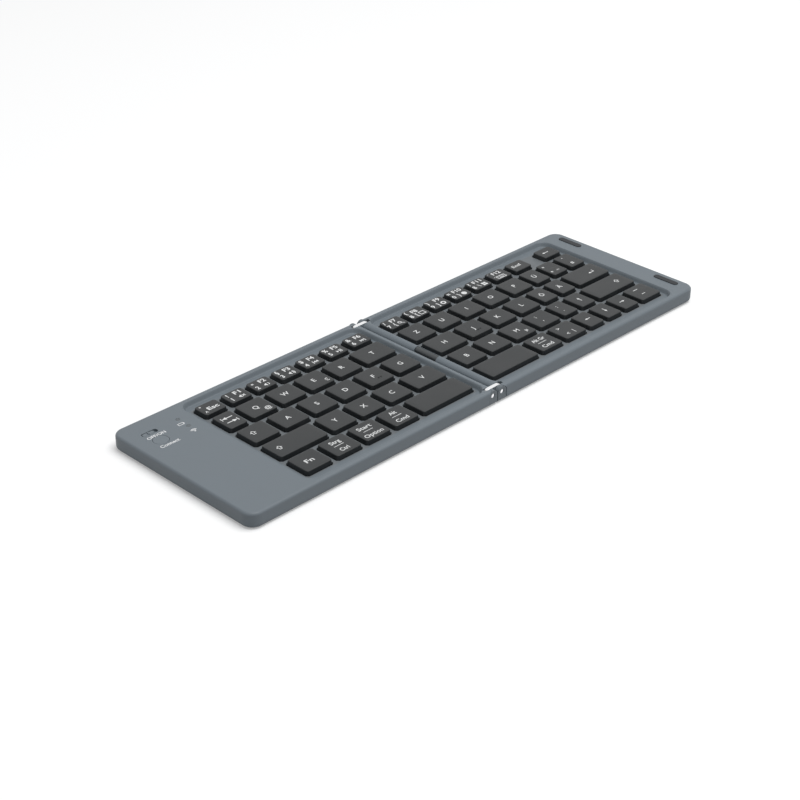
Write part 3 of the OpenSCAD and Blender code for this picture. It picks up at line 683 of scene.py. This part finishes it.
def flat_text(words, height, width=None, own_middle=False, weight=WEIGHT):
    """Lettering of a given capital height, its middle at the origin. It is drawn out or in to
    a width where one is given. With own_middle the drawn sign is centred, not its line."""
    curve = bpy.data.curves.new("lettering", "FONT")
    curve.body, curve.resolution_u, curve.offset = words, 4, weight
    source = bpy.data.objects.new("lettering", curve)
    bpy.context.scene.collection.objects.link(source)
    graph = bpy.context.evaluated_depsgraph_get()
    mesh = bpy.data.meshes.new_from_object(source.evaluated_get(graph), depsgraph=graph)
    mesh.calc_loop_triangles()
    points = np.empty(len(mesh.vertices) * 3)
    mesh.vertices.foreach_get("co", points)
    triangles = np.empty(len(mesh.loop_triangles) * 3, int)
    mesh.loop_triangles.foreach_get("vertices", triangles)
    for block, group in ((source, bpy.data.objects), (curve, bpy.data.curves),
                         (mesh, bpy.data.meshes)):
        group.remove(block)
    points = points.reshape(-1, 3)[:, :2] * height / CAPITAL
    low, high = points.min(0), points.max(0)
    points -= [(low[0] + high[0]) / 2, (low[1] + high[1]) / 2 if own_middle else height / 2]
    if width is not None:
        points[:, 0] *= width / (high[0] - low[0])
    points, same = np.unique(np.round(points, 5), axis=0, return_inverse=True)
    return points, upward(points, same.ravel()[triangles].reshape(-1, 3))


def upward(points, triangles):
    """The triangles without the empty ones, each turned to face up."""
    a, b, c = (points[triangles[:, k]] for k in range(3))
    area = np.cross(b - a, c - a)
    triangles = np.where((area < 0)[:, None], triangles[:, ::-1], triangles)
    return triangles[np.abs(area) > EMPTY]


def flat_polygon(outline):
    """A convex outline as a fan from its first point."""
    outline = np.asarray(outline, float)
    k = np.arange(1, len(outline) - 1)
    triangles = np.stack([np.zeros(len(k), int), k, k + 1], -1)
    return outline, upward(outline, triangles)


def flat_line(line, width):
    """A bar of a given width along a line of points, mitred at the corners so that nothing lies
    over itself. It runs half a width past its ends, or closes where it ends at its start."""
    line = np.asarray(line, float)
    closed = np.allclose(line[0], line[-1])
    step = np.diff(line, axis=0)
    step /= np.linalg.norm(step, axis=1)[:, None]
    if closed:
        line, before, after = line[:-1], np.roll(step, 1, axis=0), step
    else:
        line[0] -= step[0] * width / 2
        line[-1] += step[-1] * width / 2
        before, after = np.vstack([step[:1], step]), np.vstack([step, step[-1:]])
    mitre = (before + after) / (1 + (before * after).sum(1))[:, None] * width / 2
    across = np.stack([-mitre[:, 1], mitre[:, 0]], -1)
    count = len(line)
    here = np.arange(count if closed else count - 1)
    there = (here + 1) % count
    triangles = np.concatenate([np.stack([here, there, there + count], -1),
                                np.stack([here, there + count, here + count], -1)])
    points = np.concatenate([line - across, line + across])
    return points, upward(points, triangles)


def flat_lines(lines, width):
    return several(*[flat_line(line, width) for line in lines])


def circle(radius, steps, turn=360.0, start=0.0):
    """Points on a circle about the origin, from start through turn degrees."""
    angle = np.radians(start + np.linspace(0, turn, steps))
    return np.stack([np.cos(angle), np.sin(angle)], -1) * radius


def moved(shape, x, y):
    return shape[0] + [x, y], shape[1]


def grown(shape, factor):
    return shape[0] * factor, shape[1]


def several(*shapes):
    """Several flat shapes as one."""
    first = np.cumsum([0] + [len(points) for points, _ in shapes])
    return (np.concatenate([points for points, _ in shapes]),
            np.concatenate([triangles + n for (_, triangles), n in zip(shapes, first)]))


def thick(shape, low, high):
    """A flat shape as a closed plate between two heights: its triangles above, the same ones
    turned over below, and a wall along each edge that only one triangle has."""
    flat, triangles = shape
    count = len(flat)
    points = np.concatenate([np.column_stack([flat, np.full(count, z)]) for z in (high, low)])
    edges = np.concatenate([triangles[:, [0, 1]], triangles[:, [1, 2]], triangles[:, [2, 0]]])
    forward = edges[:, 0] * count + edges[:, 1]
    rim = edges[~np.isin(forward, edges[:, 1] * count + edges[:, 0])]
    walls = np.stack([rim[:, 1], rim[:, 0], rim[:, 0] + count, rim[:, 1] + count], -1)
    return points, [*triangles.tolist(), *(triangles[:, ::-1] + count).tolist(), *walls.tolist()]


def arrow(x, y, length=3.5, head=1.6, width=0.42):
    """An arrow through the origin that points along (x, y)."""
    tip, neck, half = length / 2, length / 2 - head, head * 0.45
    shape = several(flat_line([(-tip, 0), (neck - width / 2, 0)], width),
                    flat_polygon([(tip, 0), (neck, half), (neck, -half)]))
    turn = np.array([[x, y], [-y, x]], float)
    return shape[0] @ turn, shape[1]


# Symbols, each drawn about its own middle. Those of the function row are about 2 mm wide.

LINE = 0.27


def speaker(waves):
    """A loudspeaker with one bar of sound for each wave, or a cross for none."""
    body = several(flat_polygon([(-1.0, -0.3), (-0.7, -0.3), (-0.7, 0.3), (-1.0, 0.3)]),
                   flat_polygon([(-0.7, -0.3), (-0.1, -0.8), (-0.1, 0.8), (-0.7, 0.3)]))
    if waves == 0:
        return several(body, flat_lines([[(0.3, -0.35), (1.0, 0.35)], [(0.3, 0.35), (0.46, 0.19)],
                                         [(0.84, -0.19), (1.0, -0.35)]], LINE))
    arcs = [circle(0.25 + 0.4 * k, 7, 90, -45) + [0.05, 0] for k in range(1, waves + 1)]
    return several(body, flat_lines(arcs, LINE))


def triangle(x, side=1):
    """A triangle about (x, 0) that points to one side."""
    reach, half = 0.4 * side, 0.6
    return flat_polygon([(x - reach, -half), (x + reach, 0), (x - reach, half)])


def skip(side):
    """Two triangles and a bar: the next or the last track."""
    bar = flat_line([(side * 0.95, -0.6), (side * 0.95, 0.6)], LINE)
    return several(triangle(-0.5 * side, side), triangle(0.3 * side, side), bar)


def play_pause():
    bars = flat_lines([[(0.2, -0.6), (0.2, 0.6)], [(0.8, -0.6), (0.8, 0.6)]], 0.3)
    return several(triangle(-0.6), bars)


def loupe():
    return flat_lines([circle(0.55, 16) + [-0.2, 0.2], [(0.4, -0.4), (0.9, -0.9)]], LINE)


def outline(half_x, half_y):
    """The corners of a rectangle, back to the first."""
    return [(-half_x, -half_y), (half_x, -half_y), (half_x, half_y), (-half_x, half_y),
            (-half_x, -half_y)]


def window_outline():
    return flat_line(outline(1.0, 0.8), LINE)


def ring():
    return flat_line(circle(0.72, 18), 0.5)


def disc(radius, steps=18):
    return flat_polygon(circle(radius, steps)[:-1])


def tiles():
    tile = flat_polygon(outline(0.42, 0.42)[:-1])
    return several(*[moved(tile, x, y) for x, y in outline(0.5, 0.5)[:-1]])


def small_keyboard():
    keys = [[(x, 0.25), (x + 0.06, 0.25)] for x in (-1.1, -0.55, 0.0, 0.55, 1.1)]
    return flat_lines([outline(1.7, 0.75), *keys, [(-0.8, -0.28), (0.8, -0.28)]], LINE)


def hollow_arrow():
    """The outlined arrow of a shift key, pointing to the back."""
    return flat_line([(0, 1.45), (1.3, 0.1), (0.6, 0.1), (0.6, -1.3), (-0.6, -1.3), (-0.6, 0.1),
                      (-1.3, 0.1), (0, 1.45)], 0.32)


def tab_arrows():
    """Two arrows that run opposite ways, each against a bar."""
    bars = flat_lines([[(-3.15, 0.9), (-3.15, 2.9)], [(3.15, -0.9), (3.15, -2.9)]], 0.42)
    return several(moved(arrow(-1, 0, 5.6, 2.3, 0.52), -0.1, 1.9),
                   moved(arrow(1, 0, 5.6, 2.3, 0.52), 0.1, -1.9), bars)


def enter_arrow():
    hook = flat_line([(1.8, 1.4), (1.8, -0.2), (-0.39, -0.2)], 0.42)
    return several(hook, flat_polygon([(-2.2, -0.2), (-0.6, 0.6), (-0.6, -1.0)]))


def battery_mark():
    return flat_lines([outline(1.4, 0.75), [(1.75, -0.25), (1.75, 0.25)]], 0.34)


def radio_mark():
    """A dot under two arcs: a plain sign for a radio link."""
    arcs = flat_lines([circle(r, 9, 100, 40) for r in (1.1, 1.85)], 0.45)
    return moved(several(arcs, disc(0.5, 12)), 0, -0.9)


# Legends: what each key shows, as flat shapes about its middle. Sizes and places are
# millimetres, as measured on the photograph's keys.

LETTER = 2.85
SECOND = 2.5
WORD = 2.6
SMALL = 2.75
SIGN_SCALE = 1.6
KEYBOARD_SCALE = 1.65
LETTER_PLACE = (-0.5, -0.1)


def letter(sign, second=None, x=0, y=0):
    """A letter in the middle, and a second sign at the place (x, y)."""
    shapes = [moved(flat_text(sign, LETTER), *LETTER_PLACE)]
    if second:
        shapes.append(moved(flat_text(second, SECOND, own_middle=True), x, y))
    return several(*shapes)


def row_of_letters(signs):
    """A key for each letter of a word."""
    return [letter(sign) for sign in signs]


def signs_at(*placed):
    """Several signs, each given as (sign, x, y)."""
    return several(*[moved(flat_text(sign, SECOND, own_middle=True), x, y)
                     for sign, x, y in placed])


def two_words(upper, upper_width, lower, lower_width):
    """Two words with a bar between them."""
    return several(moved(flat_text(upper, WORD, upper_width), -0.4, 3.0),
                   moved(flat_text(lower, WORD, lower_width), -0.5, -3.7),
                   flat_line([(-3.3, -0.15), (2.2, -0.15)], 0.3))


def function_legend(number, shifted, digit, symbol, name_place=(1.9, 2.1), bracket=None):
    """A function key: its F name at name_place and a symbol on the right, a digit and its
    shifted sign on the left, and on some keys a bracket beside the digit."""
    left, right = (-4.8, 2.4) if bracket else (-3.8, 1.7)
    name_width = 5.8 if len(number) > 1 else 3.8
    shapes = [moved(flat_text("F" + number, SMALL, name_width, weight=BOLD), *name_place),
              moved(grown(symbol, SIGN_SCALE), right, -2.2),
              moved(flat_text(shifted, SMALL, own_middle=True, weight=BOLD), left, 2.1),
              moved(flat_text(digit, SMALL, own_middle=True, weight=BOLD), left, -2.0)]
    if bracket:
        shapes.append(moved(flat_text(bracket, SMALL, weight=BOLD), -1.2, -1.8))
    return several(*shapes)


def legends():
    """The legends of each key node, from left to right. None leaves a key bare."""
    escape = several(moved(flat_text("Esc", 2.7, 6.3, weight=BOLD), 1.0, -0.5),
                     signs_at(("°", -3.9, 2.9), ("^", -4.0, -2.4)))
    return {
        "escape_key": [escape],
        "left_function_keys": [
            function_legend(digit, shifted, digit, symbol) for digit, shifted, symbol in zip(
                "123456", "!\"§$%&",
                (speaker(0), speaker(1), speaker(2), skip(-1), play_pause(), skip(1)))],
        "right_function_keys": [
            function_legend("7", "/", "7", loupe(), (0.8, 1.9), "{"),
            function_legend("8", "(", "8", window_outline(), (0.1, 1.6), "["),
            function_legend("9", ")", "9", ring(), (1.9, 2.6), "]"),
            function_legend("10", "=", "0", disc(0.95), (1.25, 2.5), "}"),
            function_legend("11", "?", "ß", tiles(), (1.0, 2.4), "\\"),
            several(signs_at(("`", -4.6, 3.2), ("´", -4.4, -1.4)),
                    moved(flat_text("F12", SMALL, 5.8, weight=BOLD), 0.2, 2.1),
                    moved(grown(small_keyboard(), KEYBOARD_SCALE), -0.5, -2.6)),
            moved(flat_text("Entf", 2.4, 6.4), -0.9, 0.35)],
        "backspace_key": [moved(arrow(-1, 0, 4.4), -1.2, 0.1)],
        "tab_key": [tab_arrows()],
        "left_upper_keys": [letter("Q", "@", 3.8, -4.1), letter("W"), letter("E", "€", 4.6, -3.8),
                            *row_of_letters("RT")],
        "right_upper_keys": [*row_of_letters("ZUIOPÜ"),
                             signs_at(("*", -3.0, 3.5), ("+", -3.3, -3.1), ("~", 1.0, -3.4)),
                             signs_at(("'", -1.1, 3.8), ("#", -1.0, -3.4))],
        "caps_lock_key": [moved(hollow_arrow(), -2.5, 0.5)],
        "left_home_keys": row_of_letters("ASDFG"),
        "right_home_keys": row_of_letters("HJKLÖÄ"),
        "enter_key": [moved(enter_arrow(), 4.0, -0.8)],
        "left_shift_key": [moved(hollow_arrow(), -9.3, -0.2)],
        "left_lower_keys": row_of_letters("YXCV"),
        "right_lower_keys": [*row_of_letters("BN"), letter("M", "µ", 3.3, -3.6),
                             signs_at((";", -1.5, 2.3), (",", -1.1, -2.9)),
                             signs_at((":", -1.0, 2.3), (".", -1.2, -2.8))],
        "right_shift_key": [moved(hollow_arrow(), 7.3, 0)],
        "left_modifier_keys": [moved(flat_text("Fn", LETTER, 4.6), -0.4, -0.2),
                               two_words("Strg", 5.8, "Ctrl", 4.9),
                               two_words("Start", 8.0, "Option", 10.8),
                               two_words("Alt", 4.1, "Cmd", 7.3)],
        "left_space_key": [None],
        "right_space_key": [None],
        "right_modifier_keys": [
            two_words("Alt Gr", 8.4, "Cmd", 7.3),
            signs_at((">", -3.0, 3.2), ("<", -2.6, -3.2), ("|", 1.7, -3.2)),
            moved(flat_lines([[(-1.5, 2.6), (1.5, 2.6)], [(-0.75, -2.6), (1.35, -2.6)]], 0.4),
                  -1.2, 0.6)],
        "arrow_keys": [arrow(-1, 0), arrow(0, -1), arrow(0, 1), arrow(1, 0)],
    }


# The raised bars that the index fingers feel: the key's place in its row, by node
HOMING = {"left_home_keys": 3, "right_home_keys": 1}
HOMING_PLACE = (1.2, -3.0)
HOMING_SIZE = (2.6, 0.5, 0.16)
HOMING_LEAN = 0.4
HOMING_SUNK = 0.1
INK_LOW, INK_HIGH = -0.01, 0.015


def homing_bar(height):
    """A low rounded bar on top of a key, its foot sunk into the key. Its top is drawn in by a
    share of its width."""
    length, width, rise = HOMING_SIZE
    run, lift = quarter_round(4)
    inset = np.concatenate([[0], HOMING_LEAN * width * lift])
    level = height + np.concatenate([[-HOMING_SUNK], rise * run])
    grid = rounded_rings(length / 2, width / 2, width / 2, inset, level, np.ones(len(level)), 4)
    return closed_skin(grid, (0, 0, height - HOMING_SUNK), (0, 0, height + rise))


def add_keys():
    """One piece for each group of keys that moves as a body: caps, plungers and legends."""
    shown = legends()
    for node in KEY_NODES:
        shapes = []
        for index, (low, high) in enumerate(solid_boxes(node)):
            foot = np.array([*((low + high)[:2] / 2), low[2]]) / MM
            height = (high - low)[2] / MM
            parts = [keycap(low, high), (*plunger(low, high), SKIRT)]
            mark = shown[node][index]
            if mark is not None:
                parts.append((*thick(mark, height + INK_LOW, height + INK_HIGH), INK))
            if HOMING.get(node) == index:
                points, faces = homing_bar(height)
                parts.append((points + [*HOMING_PLACE, 0], faces, TOP))
            shapes += [(points + foot, faces, finish) for points, faces, finish in parts]
        points, faces, finishes = joined(shapes)
        piece = new_piece(node + "_caps", points * MM, faces,
                          [key_skirt_finish, key_top_finish, ink_finish], finishes,
                          frame["nodes"][node]["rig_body"], smooth_below=40)
        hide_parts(node)


PLAN_MARGIN = 1.3


def in_plan(point, boxes):
    """Whether a point lies over one of the boxes, seen from above, or just beside it."""
    margin = PLAN_MARGIN * MM
    return any((low[:2] - margin <= point[:2]).all() and (point[:2] <= high[:2] + margin).all()
               for low, high in boxes)


def add_mechanisms():
    """The scissor frames and domes of each group of keys, cut from the CAD meshes, each group's
    put on its half."""
    for side in ("left", "right"):
        sources = [solids(f"{side}_{part}") for part in ("scissors", "domes")]
        for node in KEY_NODES:
            body = frame["nodes"][node]["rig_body"]
            joint = next(j for j in frame["joints"] if j["child"] == body)
            if joint["parent"] != side + "_half":
                continue
            boxes = solid_boxes(node)
            shapes = []
            for finish, source in enumerate(sources):
                for points, triangles in source:
                    if in_plan((points.min(0) + points.max(0)) / 2, boxes):
                        shapes.append((points, triangles.tolist(), finish))
            points, faces, finishes = joined(shapes)
            piece = new_piece(node + "_mechanism", points, faces, [scissor_finish, dome_finish],
                              finishes, side + "_half", smooth_below=30)
            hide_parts(f"{side}_scissors", f"{side}_domes")
            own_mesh(piece)


# Hinge, controls and trim

PIN_R = 0.9
PIN_BEVEL = 0.1
HEAD_HEIGHT = 0.5
HEAD_DOME = 0.12
HEAD_ROUND = 0.3
HEAD_SHOULDER = 0.03


def turned_pin(node):
    """The pins of one half: a shaft, and outside the ear a round head with a domed face. Each
    is turned about Z and laid along Y, its head outwards."""
    shapes = []
    run, rise = quarter_round(5)
    for low, high in solid_boxes(node):
        centre = (low + high) / 2 / MM
        head_r, length = (high - low)[0] / 2 / MM, (high - low)[1] / MM
        outward = 1 if centre[1] > 0 else -1
        rim = length - HEAD_DOME - PIN_BEVEL
        edge = [(head_r - HEAD_ROUND * r, rim + PIN_BEVEL * s) for s, r in zip(run, rise)]
        points, faces = lathe([(PIN_R - PIN_BEVEL, 0), (PIN_R, PIN_BEVEL),
                               (PIN_R, length - HEAD_HEIGHT), (head_r, length - HEAD_HEIGHT),
                               *edge, (head_r / 2, length - HEAD_SHOULDER)])
        points[-1, 2] = length
        x, y, z = points.T
        laid = np.stack([x, outward * (z - length / 2), outward * -y], -1) + centre
        shapes.append((laid, faces, 0))
    points, faces, finishes = joined(shapes)
    piece = new_piece(node + "_turned", points * MM, faces, [pin_finish], finishes,
                      frame["nodes"][node]["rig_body"], smooth_below=30)
    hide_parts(node)


def ribbon(stations, half_width, thickness, round_steps=4):
    """A flat ribbon with rounded edges, carried along X through stations of (x, z)."""
    stations = np.asarray(stations, float)
    angle = np.linspace(-90, 90, round_steps + 1)
    a = np.radians(np.concatenate([angle, angle + 180]))
    side = np.where(np.arange(len(a)) <= round_steps, 1.0, -1.0)
    y = side * (half_width - thickness / 2) + np.cos(a) * thickness / 2
    z = stations[:, 1:] + np.sin(a) * thickness / 2
    grid = np.stack([np.broadcast_to(stations[:, :1], z.shape), np.broadcast_to(y, z.shape), z], -1)
    (first_x, first_z), (last_x, last_z) = stations[[0, -1]]
    return closed_skin(grid, (first_x, 0, first_z), (last_x, 0, last_z))


FLEX_THICKNESS = 0.2
FLEX_INSET = 1.4
LEFT_RUN = (-110, -5)
RIGHT_RUN = 5.0
ARM_HALF_WIDTH = 3.6
ARM_OVERLAP = 0.1
ARM_ON_BOARD = 3.0


def add_flex():
    """The flex cable in two stretches that meet between the pins, each left free on no body. In
    the gap between the halves their stations are close together. An arm runs back from the left
    stretch onto the board."""
    low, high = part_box("flex_cable")
    gap = -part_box("left_top_case")[1].x
    start_x, half_width = low.x / MM + FLEX_INSET, -low.y / MM
    z = low.z / MM + FLEX_THICKNESS / 2
    bend = np.linspace(0, gap / MM, 31)
    left = ribbon([(x, z) for x in (start_x, *np.linspace(*LEFT_RUN, 8), *-bend[::-1])],
                  half_width, FLEX_THICKNESS)
    right = ribbon([(x, z) for x in (*bend, RIGHT_RUN, high.x / MM)], half_width, FLEX_THICKNESS)
    board_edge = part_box("controller_board")[0].y / MM
    arm, faces = ribbon([(half_width - ARM_OVERLAP, z), (board_edge + ARM_ON_BOARD, z)],
                        ARM_HALF_WIDTH, FLEX_THICKNESS)
    arm = np.stack([arm[:, 1] + start_x + ARM_HALF_WIDTH, arm[:, 0], arm[:, 2]], -1)
    turned_over = [face[::-1] for face in faces]
    for name, shapes, bodies, start, end in (
            ("flex_left", [(*left, 0), (arm, turned_over, 0)], ("left_half", "front_link"), -gap, 0),
            ("flex_right", [(*right, 0)], ("front_link", "right_half"), 0, gap)):
        points, faces, finishes = joined(shapes)
        piece = new_piece(name, points * MM, faces, [flex_finish], finishes, None,
                          smooth_below=30)
        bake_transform(piece)
        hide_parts("flex_cable")


def add_panel_print():
    """OFF, ON and Connect beside their controls, and plain signs by the two lamp windows."""
    switch, button = middle_of("power_switch"), middle_of("connect_button")
    windows = [(low + high) / 2 / MM for low, high in solid_boxes("light_pipes")]
    front, back = sorted(windows, key=lambda middle: middle[1])
    marks = several(
        moved(flat_text("OFF/ON", 2.05, weight=BOLD), switch.x + 0.85, switch.y - 3.7),
        moved(flat_text("Connect", 2.15, weight=BOLD), button.x + 0.9, button.y - 5.1),
        moved(battery_mark(), back[0] - 1.6, back[1] - 4.2),
        moved(radio_mark(), front[0] - 0.7, front[1] - 4.6))
    points, faces = thick(marks, DECK_Z / MM + INK_LOW, DECK_Z / MM + INK_HIGH)
    new_piece("panel_print", points * MM, faces, [panel_ink_finish], np.zeros(len(faces)),
              "left_half")


# The finish of each CAD node that shows, by its name's ending
PLAIN_FINISHES = {
    "top_case": case_finish, "key_frame": floor_finish, "bottom_cover": cover_finish,
    "key_plate": plate_finish, "membrane": membrane_finish, "magnets": magnet_finish,
    "screws": screw_finish, "battery": battery_finish, "controller_board": board_finish,
    "charging_socket": socket_finish, "power_switch": switch_finish,
    "connect_switch": switch_finish, "indicator_lamps": lamp_finish,
    "light_pipes": window_finish, "flex_guard": guard_finish,
}
# The small trim that gets rounded edges: its finish and the width of the rounding
ROUNDED = {
    "feet": (foot_finish, 0.15), "rubber_pads": (rubber_finish, 0.1),
    "hinge_brackets": (bracket_finish, 0.12), "hinge_link": (link_finish, 0.18),
    "power_slider": (control_finish, 0.12), "connect_button": (control_finish, 0.12),
}


def finish_cad_nodes():
    """Gives each CAD node that shows its finish, and rounds the edges of the small trim."""
    for node, source in frame["nodes"].items():
        for ending, finish in PLAIN_FINISHES.items():
            if node.endswith(ending):
                for material_slot in source.material_slots:
                    material_slot.material = finish
        for ending, (finish, width) in ROUNDED.items():
            if node.endswith(ending):
                rounded_copy(node, finish, width)


bpy.context.scene.view_settings.view_transform = "Standard"
add_camera()
add_world()
add_floor()
add_area_light("overhead_box", azimuth=28, elevation=74, distance=2.3, size=1.7, power=40.0)
finish_cad_nodes()
add_keys()
add_mechanisms()
for pins in ("left_hinge_pins", "right_hinge_pins"):
    turned_pin(pins)
add_flex()
add_panel_print()
